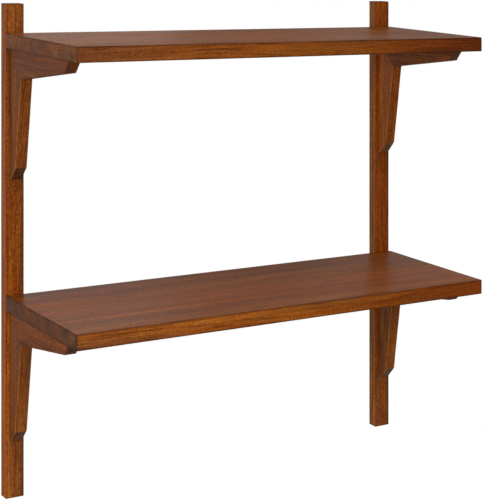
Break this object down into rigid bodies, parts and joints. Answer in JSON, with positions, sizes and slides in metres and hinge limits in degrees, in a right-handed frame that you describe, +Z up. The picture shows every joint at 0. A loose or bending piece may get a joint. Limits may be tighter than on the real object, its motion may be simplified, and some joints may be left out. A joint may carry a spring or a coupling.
{
  "type": "wall shelf",
  "caption": "Wooden wall shelf: deep boards on mitred brackets that stand off tall wall rails, with keyhole hanger plates let into the backs of the rails.",
  "frame": {"origin": "midway between the round holes of the hanger plates, on the wall's plane, at the middle of the rails' height", "axes": "+X to the right along the boards, +Y into the wall, +Z up along the rails"},
  "size_m": [0.896, 0.32, 0.914],
  "materials": {
    "rail_wood": "walnut-brown stained hardwood under satin lacquer",
    "board_wood": "walnut-brown stained hardwood under satin lacquer",
    "bracket_wood": "walnut-brown stained hardwood under satin lacquer",
    "dowel_wood": "bare beech",
    "screw_steel": "yellow-zinc plated steel",
    "hanger_steel": "bright zinc-plated steel"
  },
  "bodies": {
    "root": {"left_rail": "rail_wood", "right_rail": "rail_wood", "upper_board": "board_wood", "lower_board": "board_wood", "upper_left_arm": "bracket_wood", "upper_left_leg": "bracket_wood", "upper_right_arm": "bracket_wood", "upper_right_leg": "bracket_wood", "lower_left_arm": "bracket_wood", "lower_left_leg": "bracket_wood", "lower_right_arm": "bracket_wood", "lower_right_leg": "bracket_wood", "upper_left_dowels": "dowel_wood", "upper_right_dowels": "dowel_wood", "lower_left_dowels": "dowel_wood", "lower_right_dowels": "dowel_wood", "upper_left_rail_screws": "screw_steel", "upper_right_rail_screws": "screw_steel", "lower_left_rail_screws": "screw_steel", "lower_right_rail_screws": "screw_steel", "upper_left_board_screws": "screw_steel", "upper_right_board_screws": "screw_steel", "lower_left_board_screws": "screw_steel", "lower_right_board_screws": "screw_steel", "top_left_hanger": "hanger_steel", "top_right_hanger": "hanger_steel", "bottom_left_hanger": "hanger_steel", "bottom_right_hanger": "hanger_steel", "top_left_hanger_screws": "screw_steel", "top_right_hanger_screws": "screw_steel", "bottom_left_hanger_screws": "screw_steel", "bottom_right_hanger_screws": "screw_steel"}
  },
  "joints": []
}
